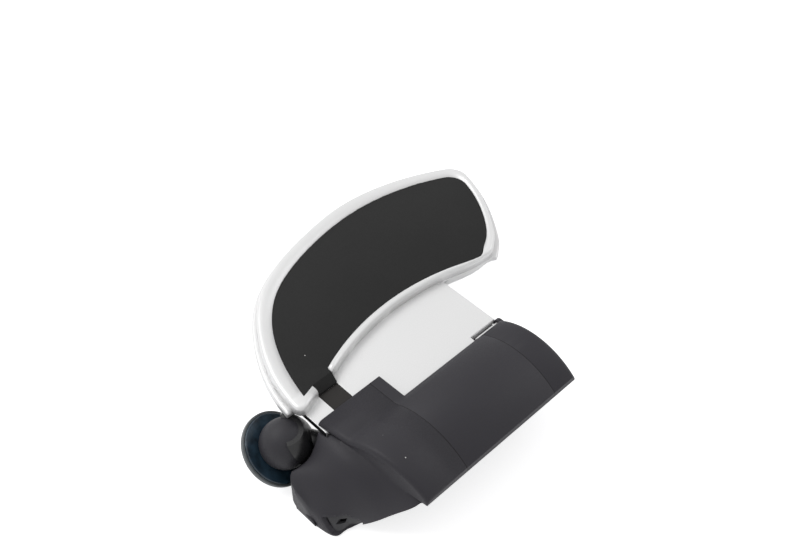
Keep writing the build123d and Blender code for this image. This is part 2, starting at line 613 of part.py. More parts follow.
with BuildPart() as joint_relief:
    with Locations(BALL_AT):
        Sphere(CUP_R + SLIDE_GAP)
    with Locations((*BALL_AT[:2], CUP_TOP + SLIDE_GAP)):
        Cylinder(CUP_R + SLIDE_GAP, 2 * BASE_TOP, align=(Align.CENTER, Align.CENTER, Align.MAX),
                 mode=Mode.INTERSECT)
    with Locations(BALL_AT):
        Sphere(DOME_R + SLIDE_GAP)
    with Locations((HEAD_LEFT, RELIEF_END, PLATE_TOP)):
        Box(BASE_TOP, RELIEF_END, BASE_TOP, align=(Align.MAX, Align.MAX, Align.MAX))

with BuildPart() as crescent_back:
    with BuildSketch(Plane.XY.offset(BACK_BOTTOM)):
        add(bezel_outline(BACK_BOTTOM, BACK_FLARE))
        with Locations(BEZEL_CURVES[2].arc_center):
            Circle(BEZEL_CURVES[2].radius, mode=Mode.SUBTRACT)
    extrude(amount=PLATE_TOP - BACK_BOTTOM)
    fillet(crescent_back.faces().sort_by(Axis.Z)[0].edges(), BACK_ROUND)
    fillet(crescent_back.faces().sort_by(Axis.Z)[-1].edges(), BACK_TOP_ROUND)
    add(back_hollow.part, mode=Mode.SUBTRACT)
    # bosses for the screws, from the floor to the plate
    with Locations([(x, y, BACK_BOTTOM) for x, y in HEAD_SCREWS]):
        Cylinder(BOSS_R + SHELL / 2, PLATE_BOTTOM - BACK_BOTTOM,
                 align=(Align.CENTER, Align.CENTER, Align.MIN))
    with Locations([(x, y, BACK_BOTTOM) for x, y in HEAD_SCREWS]):
        Cylinder(SCREW_R + HEAD_FIT, PLATE_THICK + PLATE_TOP - BACK_BOTTOM,
                 align=(Align.CENTER, Align.CENTER, Align.MIN), mode=Mode.SUBTRACT)
        Cylinder(HEAD_R + HEAD_FIT, HEAD_SEAT_Z - BACK_BOTTOM,
                 align=(Align.CENTER, Align.CENTER, Align.MIN), mode=Mode.SUBTRACT)
    # the plate's way in
    for left, end in ((PLATE_LEFT, HEAD_STEP_Y), (HEAD_LEFT, PLATE_HEAD_END)):
        with Locations((left, 0, PLATE_BOTTOM)):
            Box(PLATE_RIGHT - left, end, PLATE_THICK, align=(Align.MIN, Align.MIN, Align.MIN),
                mode=Mode.SUBTRACT)
    # the underside thins towards the tip, and is relieved where it slides over the foot's joint
    add(back_taper.part, mode=Mode.SUBTRACT)
    add(joint_relief.part, mode=Mode.SUBTRACT)
save(crescent_back.part, "crescent_back")

with BuildPart() as crescent_frame:
    extrude(bezel_outline(PLATE_TOP), amount=RIM_TOP - PLATE_TOP)
    fillet(crescent_frame.faces().sort_by(Axis.Z)[-1].edges(), BEZEL_ROUND)
    extrude(pad_outline(PAD_FLOOR, PAD_GAP), amount=POCKET_DEPTH, mode=Mode.SUBTRACT)
    with Locations((STRIP_LEFT - TONGUE_GAP, 0, PLATE_TOP)):
        Box(STRIP_WIDTH + 2 * TONGUE_GAP, TONGUE_ROOT, RIM_TOP - PLATE_TOP,
            align=(Align.MIN, Align.MIN, Align.MIN), mode=Mode.SUBTRACT)
    with Locations([(x, y, PLATE_TOP) for x, y in HEAD_SCREWS]):
        Cylinder(SCREW_R + THREAD_FIT, PAD_FLOOR - PLATE_TOP - THREAD_GAP,
                 align=(Align.CENTER, Align.CENTER, Align.MIN), mode=Mode.SUBTRACT)
save(crescent_frame.part, "crescent_frame")

with BuildPart() as grip_pad:
    extrude(pad_outline(PAD_FLOOR), amount=PAD_THICK)
    with BuildSketch(Plane.YZ.offset(STRIP_LEFT)):
        with BuildLine():
            Polyline((TONGUE_END, PLATE_TOP), (TONGUE_ROOT - PAD_GAP, PLATE_TOP),
                     (TONGUE_ROOT - PAD_GAP, PAD_FLOOR + PAD_THICK),
                     (TONGUE_RISE_END, PAD_FLOOR + PAD_THICK),
                     (TONGUE_END, PLATE_TOP + 1), close=True)
        make_face()
    extrude(amount=STRIP_WIDTH)
save(grip_pad.part, "grip_pad")

# ================================================================ rack, pawl and release button
with BuildPart() as rack:
    with BuildSketch(Plane.YZ.offset(RACK_LEFT)):
        with BuildLine():
            valley = PLATE_BOTTOM - RACK_HEIGHT + TOOTH_DEPTH
            teeth = [(RACK_FRONT, PLATE_BOTTOM), (RACK_FRONT, valley)]
            for tooth in range(1, RACK_TEETH + 1):
                steep_y = RACK_FRONT + tooth * TOOTH_PITCH
                teeth += [(steep_y, valley - TOOTH_DEPTH), (steep_y, valley)]
            Polyline(*teeth, (RACK_REAR, PLATE_BOTTOM), close=True)
        make_face()
    extrude(amount=RACK_WIDTH)
save(rack.part, "rack")

pawl_left = PAWL_X - PAWL_THICK / 2
tail_bottom = ROD_Z + ROD_R - WEDGE_RISE + TOOTH_GAP
with BuildPart() as pawl:
    with BuildSketch(Plane.YZ.offset(pawl_left)):
        with Locations((PAWL_PIVOT_Y, PAWL_PIVOT_Z)):
            Circle(PAWL_HUB_R)
        with BuildLine():
            tip_z = PLATE_BOTTOM - RACK_HEIGHT + TOOTH_DEPTH - 2 * TOOTH_GAP
            Polyline((PAWL_TOOTH_Y + TOOTH_GAP, tip_z),
                     (PAWL_TOOTH_Y + TOOTH_PITCH, tip_z - TOOTH_DEPTH),
                     (PAWL_TOOTH_Y + TOOTH_PITCH, tip_z - 2 * TOOTH_PITCH),
                     (PAWL_PIVOT_Y + PAWL_HUB_R, PAWL_PIVOT_Z - 1),
                     (PAWL_PIVOT_Y, PAWL_PIVOT_Z + PAWL_HUB_R),
                     (PAWL_TOOTH_Y + TOOTH_GAP, tip_z - TOOTH_DEPTH - TOOTH_GAP), close=True)
        make_face()
        with BuildLine():
            Polyline((ROD_Y - TAIL_HALF, tail_bottom), (ROD_Y + TAIL_HALF, tail_bottom),
                     (PAWL_PIVOT_Y + TAIL_HALF, PAWL_PIVOT_Z - PAWL_HUB_R / 2),
                     (PAWL_PIVOT_Y - PAWL_HUB_R / 2, PAWL_PIVOT_Z + PAWL_HUB_R / 2),
                     (ROD_Y - TAIL_HALF, tail_bottom + PAWL_HUB_R), close=True)
        make_face()
    extrude(amount=PAWL_THICK)
    with BuildSketch(Plane.YZ.offset(pawl_left)):
        with Locations((PAWL_PIVOT_Y, PAWL_PIVOT_Z)):
            Circle(PAWL_PIN_R + PIN_FIT)
    extrude(amount=PAWL_THICK, mode=Mode.SUBTRACT)
save(pawl.part, "pawl")

with BuildPart() as pawl_pin:
    with BuildSketch(Plane.YZ.offset(ear_left)):
        with Locations((PAWL_PIVOT_Y, PAWL_PIVOT_Z)):
            Circle(PAWL_PIN_R)
    extrude(amount=ear_right + EAR_THICK - ear_left)
save(pawl_pin.part, "pawl_pin")

rod_tip = pawl_left + PAWL_THICK / 2
# the stretch of the rod that grows out of the button's back
with BuildPart() as rod_root:
    with BuildSketch(Plane.YZ.offset(NOSE_RIBS[-1][0])):
        with Locations((ROD_Y, ROD_Z)):
            Circle(ROD_R)
    extrude(amount=WINDOW_RIGHT - NOSE_RIBS[-1][0])
    add(nose_form().moved(Location((RECESS_DEPTH + BUTTON_THICK / 2, 0, 0))), mode=Mode.INTERSECT)

with BuildPart() as release_button:
    add(window_prism(WINDOW_RIGHT - BUTTON_TRAVEL - SLIDE_GAP, SLIDE_GAP))
    add(nose_form().moved(Location((RECESS_DEPTH, 0, 0))), mode=Mode.INTERSECT)
    add(nose_form().moved(Location((RECESS_DEPTH + BUTTON_THICK, 0, 0))), mode=Mode.SUBTRACT)
    add(rod_root.part)
    with BuildSketch(Plane.YZ.offset(NOSE_RIBS[-1][0])):
        with Locations(BUTTON_HOLE_AT):
            Rectangle(BUTTON_HOLE, BUTTON_HOLE)
    extrude(amount=BUTTON_HOLE_END - NOSE_RIBS[-1][0], mode=Mode.SUBTRACT)
    # the rod with its collars: one bears on the spring, one stops the button at the base's wall
    for start, radius, length in (
            (WINDOW_RIGHT, ROD_R, rod_tip - WINDOW_RIGHT),
            (BUTTON_SPRING_START - COLLAR_THICK, SPRING_R + WIRE_R, COLLAR_THICK),
            (BAY_LEFT + PIN_FIT, STOP_COLLAR_R, COLLAR_THICK)):
        with BuildSketch(Plane.YZ.offset(start)):
            with Locations((ROD_Y, ROD_Z)):
                Circle(radius)
        extrude(amount=length)
    # the wedge that lifts the pawl's tail
    wedge_start = pawl_left - BUTTON_TRAVEL
    with BuildSketch(Plane.XZ.offset(-ROD_Y)):
        with BuildLine():
            Polyline((wedge_start, ROD_Z + ROD_R), (rod_tip, ROD_Z + ROD_R),
                     (rod_tip, ROD_Z + ROD_R - WEDGE_RISE * (rod_tip - wedge_start) / BUTTON_TRAVEL),
                     close=True)
        make_face()
    extrude(amount=2 * ROD_R, both=True, mode=Mode.SUBTRACT)
save(release_button.part, "release_button")

# ================================================================ springs
for name, start, axis, height, turns in (
        ("pawl_spring", (PAWL_X, PAWL_TOOTH_Y - 2, BASE_WALL), (0, 0, 1), PAWL_SPRING_HEIGHT, 4),
        ("button_spring", (BUTTON_SPRING_START, ROD_Y, ROD_Z), (1, 0, 0), BUTTON_SPRING_LENGTH, 3)):
    with BuildPart() as spring:
        with BuildLine():
            coil = Helix(pitch=(height - 2 * WIRE_R) / turns, height=height - 2 * WIRE_R, radius=SPRING_R,
                         center=Vector(start) + Vector(axis) * WIRE_R, direction=axis)
        with BuildSketch(Plane(coil @ 0, z_dir=coil % 0)):
            RegularPolygon(WIRE_R, WIRE_SIDES)
        sweep(is_frenet=True)
    save(spring.part, name)

# ================================================================ foot
# the seat that the ball turns in, at the bottom of the cup
seat_form = ball_cap(CUP_PLANE, SEAT_START, SEAT_R, CUP_HOLLOW_R)

with BuildPart() as foot_socket:
    with Locations(ELBOW):
        Sphere(ARM_R)
    with BuildSketch(ARM_PLANE):
        Circle(ARM_R)
    extrude(amount=ARM.length)
    with Locations(CUP_PLANE.location):
        Sphere(SEAT_R + CUP_WALL / 2, mode=Mode.SUBTRACT)
    add(ball_cap(CUP_PLANE, CUP_RIM, CUP_R, CUP_HOLLOW_R))
    add(seat_form, mode=Mode.SUBTRACT)
    with Locations((*BALL_AT[:2], CUP_TOP)):
        Cylinder(2 * CUP_R, CUP_R, align=(Align.CENTER, Align.CENTER, Align.MIN), mode=Mode.SUBTRACT)
    with BuildSketch(STEM_PLANE):
        Circle(STEM_R)
    extrude(amount=STEM_END, mode=Mode.SUBTRACT)
save(foot_socket.part, "foot_socket")

with BuildPart() as ball_seat:
    add(seat_form)
    with Locations((*BALL_AT[:2], CUP_TOP)):
        Cylinder(2 * CUP_R, CUP_R, align=(Align.CENTER, Align.CENTER, Align.MIN), mode=Mode.SUBTRACT)
    with BuildSketch(STEM_PLANE):
        Circle(STEM_R + THREAD_FIT)
    extrude(amount=STEM_END, mode=Mode.SUBTRACT)
save(ball_seat.part, "ball_seat")

with BuildPart() as ball_stud:
    add(ball_cap(STEM_PLANE, FOLLOWER_START, DOME_HOLLOW_R - BALL_FIT))
    with BuildSketch(STEM_PLANE.offset(FOLLOWER_START)):
        Circle(STEM_R)
    extrude(amount=STEM_END - FOLLOWER_START)
save(ball_stud.part, "ball_stud")

with BuildPart() as foot_ball:
    with Locations(BALL_AT):
        Sphere(DOME_R)
        Sphere(DOME_HOLLOW_R, mode=Mode.SUBTRACT)
    split(bisect_by=FOOT_PLANE.offset(DOME_END), keep=Keep.BOTTOM)
    with Locations(MOUTH_PLANE.location):
        Cone(0, DOME_R * math.tan(math.radians(MOUTH_ANGLE)), DOME_R,
             align=(Align.CENTER, Align.CENTER, Align.MIN), mode=Mode.SUBTRACT)
save(foot_ball.part, "foot_ball")

with BuildPart() as foot_hub:
    for start, radius, thick in (
            (HUB_TOP, math.sqrt(DOME_HOLLOW_R ** 2 - DOME_END ** 2) - PIN_FIT, DOME_END - HUB_TOP),
            (DOME_END, HUB_R, HUB_THICK),
            (DOME_END + HUB_THICK, JOURNAL_R, DISC_BOTTOM - DOME_END - HUB_THICK + TURN_GAP),
            (DISC_BOTTOM + TURN_GAP, RIVET_R, RIVET_THICK)):
        with BuildSketch(FOOT_PLANE.offset(start)):
            Circle(radius)
        extrude(amount=thick)
save(foot_hub.part, "foot_hub")

with BuildPart() as foot_disc:
    with BuildSketch(FOOT_PLANE.offset(DISC_TOP)):
        Circle(DISC_R)
    extrude(amount=DISC_THICK)
    fillet(foot_disc.edges().group_by(Axis(BALL_AT, FOOT_AXIS))[0], DISC_ROUND)
    with BuildSketch(FOOT_PLANE.offset(DISC_TOP)):
        Circle(JOURNAL_R + PIN_FIT)
    extrude(amount=DISC_THICK, mode=Mode.SUBTRACT)
save(foot_disc.part, "foot_disc")

with BuildPart() as foot_skirt:
    with BuildSketch(FOOT_PLANE.offset(DISC_TOP + DISC_ROUND)):
        Circle(DISC_R + SKIRT_WALL)
        Circle(DISC_R, mode=Mode.SUBTRACT)
    extrude(amount=SKIRT_DEPTH - DISC_ROUND)
save(foot_skirt.part, "foot_skirt")

with BuildPart() as gel_pad:
    with BuildSketch(FOOT_PLANE.offset(DISC_BOTTOM)):
        Circle(GEL_R)
    extrude(amount=GEL_THICK)
    fillet(gel_pad.edges().group_by(Axis(BALL_AT, FOOT_AXIS))[-1], GEL_ROUND)
    # room for the hub's rivet
    with BuildSketch(FOOT_PLANE.offset(DISC_BOTTOM)):
        Circle(RIVET_R + SLIDE_GAP)
    extrude(amount=RIVET_THICK + 2 * TURN_GAP, mode=Mode.SUBTRACT)
save(gel_pad.part, "gel_pad")

# ================================================================ fasteners
with BuildPart() as housing_screws:
    with Locations([(x, FRONT_SCREW_Y, FRONT_SEAT_Z) for x in FRONT_SCREWS] + [(*SIDE_SCREW, FRONT_SEAT_Z)]):
        Cylinder(HEAD_R, HEAD_HEIGHT, align=(Align.CENTER, Align.CENTER, Align.MAX))
        Cylinder(SCREW_R, BASE_TOP + THREAD_DEPTH - FRONT_SEAT_Z,
                 align=(Align.CENTER, Align.CENTER, Align.MIN))
save(housing_screws.part, "housing_screws")

with BuildPart() as head_screws:
    with Locations([(x, y, HEAD_SEAT_Z) for x, y in HEAD_SCREWS]):
        Cylinder(HEAD_R, HEAD_HEIGHT, align=(Align.CENTER, Align.CENTER, Align.MAX))
        Cylinder(SCREW_R, PAD_FLOOR - 2 * THREAD_GAP - HEAD_SEAT_Z,
                 align=(Align.CENTER, Align.CENTER, Align.MIN))
save(head_screws.part, "head_screws")
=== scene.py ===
# %% [markdown]
# # A car phone mount, finished in Blender
# The frame that this script loads holds every solid piece of the mount at its real place and size: an arched
# housing, a silver plate that slides out of it, a crescent-shaped grip on the plate, and a small round foot
# on a ball joint. This script gives those pieces their surfaces, adds the details that are too small for the
# construction model, and sets up a plain studio round them. All lengths are in metres.

# %% Load the frame and note its size
import math

import bmesh
import bpy
from mathutils import Matrix, Vector


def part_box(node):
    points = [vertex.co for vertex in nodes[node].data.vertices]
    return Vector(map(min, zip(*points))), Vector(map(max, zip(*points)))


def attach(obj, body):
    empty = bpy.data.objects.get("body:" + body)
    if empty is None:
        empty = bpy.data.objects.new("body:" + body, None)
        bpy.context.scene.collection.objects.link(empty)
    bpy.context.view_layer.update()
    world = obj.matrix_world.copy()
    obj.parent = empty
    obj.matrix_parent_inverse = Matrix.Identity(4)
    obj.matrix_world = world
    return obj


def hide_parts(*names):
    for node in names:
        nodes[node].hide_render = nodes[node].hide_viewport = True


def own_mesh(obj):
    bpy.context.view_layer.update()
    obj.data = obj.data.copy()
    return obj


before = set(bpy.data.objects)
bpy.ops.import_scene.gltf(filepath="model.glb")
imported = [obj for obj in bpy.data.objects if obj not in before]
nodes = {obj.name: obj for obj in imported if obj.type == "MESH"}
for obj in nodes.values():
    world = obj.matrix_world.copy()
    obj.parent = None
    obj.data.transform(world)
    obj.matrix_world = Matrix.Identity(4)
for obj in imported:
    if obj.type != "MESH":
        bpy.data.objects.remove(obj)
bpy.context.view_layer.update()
MM = 0.001

# %% [markdown]
# ## The camera
# The camera looks down on the mount from above its front left corner, so that the arch, the plate and the
# crescent all show. It is placed by its target and by the way from the target to the lens, because that is
# easier to reason about than three angles.

# %% Place the camera
CAMERA_TARGET = Vector((36.0, 52.0, 26.0)) * MM
CAMERA_FROM_TARGET = Vector((-211.2, -217.4, 324.5)) * MM
FOCAL_LENGTH = 50.0
SENSOR_WIDTH = 36.0
CLIP_START = 0.01

camera = bpy.data.objects.new("camera", bpy.data.cameras.new("camera"))
bpy.context.scene.collection.objects.link(camera)
camera.data.lens = FOCAL_LENGTH
camera.data.sensor_width = SENSOR_WIDTH
camera.data.clip_start = CLIP_START
camera.location = CAMERA_TARGET + CAMERA_FROM_TARGET
camera.rotation_euler = CAMERA_FROM_TARGET.to_track_quat("Z", "Y").to_euler()
bpy.context.scene.camera = camera
print("camera stands", round(CAMERA_FROM_TARGET.length, 3), "m from its target")

# %% [markdown]
# ## The studio
# A white world fills the shadows from all sides. What the camera and reflections see of it is full white,
# and what lights the object is weaker, so the background is bright without washing out the dark plastic.

# %% Light the world
WHITE = (1.0, 1.0, 1.0, 1.0)
WORLD_FILL = 0.50


def seen_directly(tree):
    """1 for rays from the camera and for rays reflected or passed on to it, else 0."""
    path = tree.nodes.new("ShaderNodeLightPath")
    direct = path.outputs["Is Camera Ray"]
    for kind in ("Is Glossy Ray", "Is Transmission Ray"):
        either = tree.nodes.new("ShaderNodeMath")
        either.operation = "MAXIMUM"
        tree.links.new(direct, either.inputs[0])
        tree.links.new(path.outputs[kind], either.inputs[1])
        direct = either.outputs[0]
    return direct


world = bpy.data.worlds.new("studio")
bpy.context.scene.world = world
world.use_nodes = True
world_tree = world.node_tree
background = world_tree.nodes["Background"]
background.inputs["Color"].default_value = WHITE
strength = world_tree.nodes.new("ShaderNodeMapRange")
strength.inputs["To Min"].default_value = WORLD_FILL
strength.inputs["To Max"].default_value = 1.0
world_tree.links.new(seen_directly(world_tree), strength.inputs["Value"])
world_tree.links.new(strength.outputs["Result"], background.inputs["Strength"])
print("the world lights the object with", WORLD_FILL, "of the white that the camera sees")

# %% [markdown]
# ## The lamps
# Dark plastic needs large soft lamps: a small lamp would only leave a dot on it. The wide key lamp hangs
# behind the object and to the left, so the shadow falls towards the viewer. A weaker lamp on the right
# lifts that side.

# %% Hang the lamps
# name, place and size in metres, power in watts
LAMPS = (("key_lamp", (-0.25, 0.55, 0.75), (0.7, 0.5), 4.2),
         ("side_lamp", (0.75, -0.15, 0.55), (0.5, 0.5), 1.0))

for name, place, size, power in LAMPS:
    lamp = bpy.data.objects.new(name, bpy.data.lights.new(name, "AREA"))
    bpy.context.scene.collection.objects.link(lamp)
    lamp.data.shape = "RECTANGLE"
    lamp.data.size, lamp.data.size_y = size
    lamp.data.energy = power
    lamp.location = place
    lamp.rotation_euler = (Vector(place) - CAMERA_TARGET).to_track_quat("Z", "Y").to_euler()
    print(name, "of", power, "W at", place)

# %% [markdown]
# ## The floor
# The floor stays a real surface that catches the shadow. A part of its brightness is its own glow, which
# only the camera and reflections see, so that it reads as white paper without more light on the object.

# %% Lay the floor
FLOOR_SIZE = 4.0
FLOOR_TONE = (0.86, 0.86, 0.87, 1.0)
FLOOR_LIFT = 0.68
PAPER_ROUGHNESS = 0.9

floor_mesh = bpy.data.meshes.new("floor")
corner_signs = ((-1, -1), (1, -1), (1, 1), (-1, 1))
floor_corners = [(x * FLOOR_SIZE / 2, y * FLOOR_SIZE / 2, 0) for x, y in corner_signs]
floor_mesh.from_pydata(floor_corners, [], [(0, 1, 2, 3)])
floor = bpy.data.objects.new("floor", floor_mesh)
bpy.context.scene.collection.objects.link(floor)
paper = bpy.data.materials.new("studio_paper")
paper.use_nodes = True
paper_tree = paper.node_tree
paper_shader = paper_tree.nodes["Principled BSDF"]
paper_shader.inputs["Base Color"].default_value = FLOOR_TONE
paper_shader.inputs["Roughness"].default_value = PAPER_ROUGHNESS
paper_shader.inputs["Specular IOR Level"].default_value = 0.0
paper_shader.inputs["Emission Color"].default_value = WHITE
lift = paper_tree.nodes.new("ShaderNodeMath")
lift.operation = "MULTIPLY"
lift.inputs[1].default_value = FLOOR_LIFT
paper_tree.links.new(seen_directly(paper_tree), lift.inputs[0])
paper_tree.links.new(lift.outputs[0], paper_shader.inputs["Emission Strength"])
floor_mesh.materials.append(paper)
bpy.context.scene.view_settings.view_transform = "Standard"
print("a floor of", FLOOR_SIZE, "m")

# %% [markdown]
# ## Materials that are made, not painted
# Every finish below starts from the same two ideas. A moulded or lacquered surface is never one flat colour:
# its tone drifts a little from place to place, and its grain breaks up the reflections over tenths of a
# millimetre. A noise texture on the object's own coordinates gives both, the first through the colour and
# the second through the bump, and it needs no unwrapping. What is the same everywhere stays on the shader.

# %% A helper for grained finishes
NOISE_SPAN = (0.3, 0.7)      # the part of the noise's range that is stretched to the full one
DRIFT_DETAIL, GRAIN_DETAIL = 3.0, 2.0
ROUGHNESS_SWING = 0.1
SPECK_SPACING = 9 * MM
SPECK_SIZE = 0.03            # as a share of the specks' spacing
DUST = (0.62, 0.62, 0.60, 1.0)
# half width and tone of the dark bands: the covers' joints, and the painted shadow on the plate's left edge
JOINT_AND_SHADOW_HALF = 0.16 * MM
JOINT_AND_SHADOW_TONE = (0.002, 0.002, 0.003, 1.0)


def finish(name, color, roughness, grain_size, grain_depth, drift=0.06, drift_size=20 * MM, specks=0.0,
           joints_and_shadows=(), **shader_values):
    """A Principled material: its colour drifts by a share of itself, noise of grain_size roughens it, specks
    is the size of the dust on it as a share of the specks' spacing, and the X listed after specks get dark
    bands, which draw dark joints and painted shadow."""
    material = bpy.data.materials.new(name)
    material.use_nodes = True
    tree = material.node_tree
    shader = tree.nodes["Principled BSDF"]
    for socket, value in shader_values.items():
        shader.inputs[socket.replace("_", " ")].default_value = value
    place = tree.nodes.new("ShaderNodeTexCoord").outputs["Object"]

    def noise(size, detail):
        node = tree.nodes.new("ShaderNodeTexNoise")
        node.inputs["Scale"].default_value = 1.0 / size
        node.inputs["Detail"].default_value = detail
        tree.links.new(place, node.inputs["Vector"])
        return node.outputs["Fac"]

    def ramp(value, low, high):
        node = tree.nodes.new("ShaderNodeMapRange")
        node.inputs["From Min"].default_value, node.inputs["From Max"].default_value = NOISE_SPAN
        node.inputs["To Min"].default_value = low
        node.inputs["To Max"].default_value = high
        tree.links.new(value, node.inputs["Value"])
        return node.outputs["Result"]

    def overlaid(surface, color, mask):
        node = tree.nodes.new("ShaderNodeMix")
        node.data_type = "RGBA"
        node.inputs["B"].default_value = color
        tree.links.new(mask, node.inputs["Factor"])
        tree.links.new(surface, node.inputs["A"])
        return node.outputs["Result"]

    broad = noise(drift_size, DRIFT_DETAIL)
    fine = noise(grain_size, GRAIN_DETAIL)
    tone = tree.nodes.new("ShaderNodeMix")
    tone.data_type = "RGBA"
    tone.inputs["A"].default_value = (*[c * (1 - drift) for c in color], 1.0)
    tone.inputs["B"].default_value = (*[min(1.0, c * (1 + drift)) for c in color], 1.0)
    tree.links.new(ramp(broad, 0.0, 1.0), tone.inputs["Factor"])
    surface = tone.outputs["Result"]
    if specks:
        cells = tree.nodes.new("ShaderNodeTexVoronoi")
        cells.inputs["Scale"].default_value = 1.0 / SPECK_SPACING
        tree.links.new(place, cells.inputs["Vector"])
        near = tree.nodes.new("ShaderNodeMath")
        near.operation = "LESS_THAN"
        near.inputs[1].default_value = specks
        tree.links.new(cells.outputs["Distance"], near.inputs[0])
        surface = overlaid(surface, DUST, near.outputs[0])
    # a dark band at each X: a joint on the covers, painted shadow on the plate's left edge
    for band_x in joints_and_shadows:
        split = tree.nodes.new("ShaderNodeSeparateXYZ")
        tree.links.new(place, split.inputs["Vector"])
        inside = tree.nodes.new("ShaderNodeMath")
        inside.operation = "COMPARE"
        inside.inputs[1].default_value = band_x
        inside.inputs[2].default_value = JOINT_AND_SHADOW_HALF
        tree.links.new(split.outputs["X"], inside.inputs[0])
        surface = overlaid(surface, JOINT_AND_SHADOW_TONE, inside.outputs[0])
    tree.links.new(surface, shader.inputs["Base Color"])
    rough = ramp(fine, roughness * (1 - ROUGHNESS_SWING), min(1.0, roughness * (1 + ROUGHNESS_SWING)))
    tree.links.new(rough, shader.inputs["Roughness"])
    bump = tree.nodes.new("ShaderNodeBump")
    bump.inputs["Strength"].default_value = 1.0
    bump.inputs["Distance"].default_value = grain_depth
    tree.links.new(fine, bump.inputs["Height"])
    tree.links.new(bump.outputs["Normal"], shader.inputs["Normal"])
    return material


# %% [markdown]
# ## The finishes of the mount
# The shell is a charcoal plastic with a faint violet cast, the plate and the bezel are lacquered silver, and
# the pad is matt rubber. The covers' solids only touch, so their material draws the joints between them as
# dark lines across X. The same band on the plate's left edge stands for the shadow beside the foot.

# %% Make the finishes
SHELL_TONE = (0.026, 0.0245, 0.030)
COVER_SEAMS = (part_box("main_cover")[0][0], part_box("end_cap")[0][0])
PLATE_LEFT_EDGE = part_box("slide_plate")[0][0]

# name, colour, roughness, size and depth of the grain
cover_plastic = finish("cover_plastic", SHELL_TONE, 0.55, 0.45 * MM, 0.012 * MM, specks=SPECK_SIZE,
                       joints_and_shadows=COVER_SEAMS, Specular_IOR_Level=0.30)
shell_plastic = finish("shell_plastic", SHELL_TONE, 0.55, 0.45 * MM, 0.012 * MM, specks=SPECK_SIZE,
                       Specular_IOR_Level=0.30)
# the dark band on the plate's left edge is painted shadow
plate_silver = finish("plate_silver", (0.79, 0.79, 0.79), 0.45, 0.28 * MM, 0.022 * MM, drift=0.03,
                      drift_size=0.4 * MM, joints_and_shadows=(PLATE_LEFT_EDGE,), Metallic=0.35)
bezel_silver = finish("bezel_silver", (0.80, 0.80, 0.80), 0.40, 0.25 * MM, 0.008 * MM, drift=0.02,
                      Metallic=0.30)
strip_rubber = finish("strip_rubber", (0.016, 0.014, 0.013), 0.62, 0.40 * MM, 0.010 * MM,
                      Specular_IOR_Level=0.3)
pad_rubber = finish("pad_rubber", (0.017, 0.017, 0.017), 0.80, 0.22 * MM, 0.020 * MM, specks=SPECK_SIZE,
                    Specular_IOR_Level=0.25)
pin_steel = finish("pin_steel", (0.80, 0.80, 0.80), 0.28, 0.20 * MM, 0.004 * MM, drift=0.03, Metallic=0.5)
rail_nylon = finish("rail_nylon", (0.70, 0.70, 0.66), 0.50, 0.60 * MM, 0.010 * MM)
button_plastic = finish("button_plastic", (0.022, 0.022, 0.025), 0.50, 0.40 * MM, 0.010 * MM)
mechanism_plastic = finish("mechanism_plastic", (0.33, 0.33, 0.33), 0.45, 0.60 * MM, 0.008 * MM)
spring_steel = finish("spring_steel", (0.50, 0.50, 0.50), 0.25, 0.10 * MM, 0.002 * MM, Metallic=1.0)
collar_plastic = finish("collar_plastic", (0.024, 0.023, 0.028), 0.58, 0.45 * MM, 0.012 * MM,
                        Specular_IOR_Level=0.35)
disc_plastic = finish("disc_plastic", (0.016, 0.034, 0.052), 0.20, 0.60 * MM, 0.010 * MM, drift=0.5,
                      drift_size=4 * MM)
skirt_plastic = finish("skirt_plastic", (0.10, 0.11, 0.115), 0.40, 0.50 * MM, 0.008 * MM)
gel = finish("gel", (0.030, 0.036, 0.040), 0.30, 1.50 * MM, 0.020 * MM)
stud_black = finish("stud_black", (0.010, 0.010, 0.011), 0.30, 0.40 * MM, 0.006 * MM)
screw_steel = finish("screw_steel", (0.20, 0.20, 0.21), 0.35, 0.20 * MM, 0.004 * MM, Metallic=1.0)
print("finishes", [material.name for material in bpy.data.materials if material is not paper])

# %% [markdown]
# ## Which piece wears what
# One table says it for all pieces, so that a change of finish is a change of one word.

# %% Give the finishes to the pieces
FINISHES = {
    cover_plastic: ("main_cover", "left_cover", "end_cap"),
    shell_plastic: ("base_housing",),
    plate_silver: ("slide_plate",),
    bezel_silver: ("crescent_frame", "crescent_back"),
    strip_rubber: ("tail_strip",),
    pad_rubber: ("grip_pad",),
    pin_steel: ("guide_pin", "pawl_pin"),
    rail_nylon: ("guide_rail_left", "guide_rail_right"),
    button_plastic: ("release_button",),
    mechanism_plastic: ("rack", "pawl"),
    spring_steel: ("pawl_spring", "button_spring"),
    collar_plastic: ("foot_ball", "foot_hub"),
    disc_plastic: ("foot_disc",),
    skirt_plastic: ("foot_skirt",),
    gel: ("gel_pad",),
    stud_black: ("ball_stud", "foot_socket", "ball_seat"),
    screw_steel: ("housing_screws", "head_screws"),
}
for material, names in FINISHES.items():
    for name in names:
        for material_slot in nodes[name].material_slots:
            material_slot.material = material
print(len(FINISHES), "finishes on", sum(len(names) for names in FINISHES.values()), "pieces")

# %% [markdown]
# ## Edges that were moulded
# No real edge is perfectly sharp: a mould's corners leave a radius of a few tenths of a millimetre, and that
# small round is what catches the light along every edge. The construction model leaves those rounds out to
# stay simple. A Weld modifier joins the model's loose facets and a Bevel modifier then rounds only the edges
# that turn sharply, so the meshes themselves stay as they were built.

# %% Soften the edges of the pieces that show
EDGE_ROUNDS = {"main_cover": 0.22 * MM, "end_cap": 0.22 * MM, "base_housing": 0.30 * MM,
               "slide_plate": 0.08 * MM, "tail_strip": 0.10 * MM, "foot_skirt": 0.20 * MM}
SHARP_FROM = math.radians(38)
WELD_DISTANCE = 0.002 * MM
ROUND_STEPS = 2


def join_facets(piece):
    piece.modifiers.new("join_facets", "WELD").merge_threshold = WELD_DISTANCE


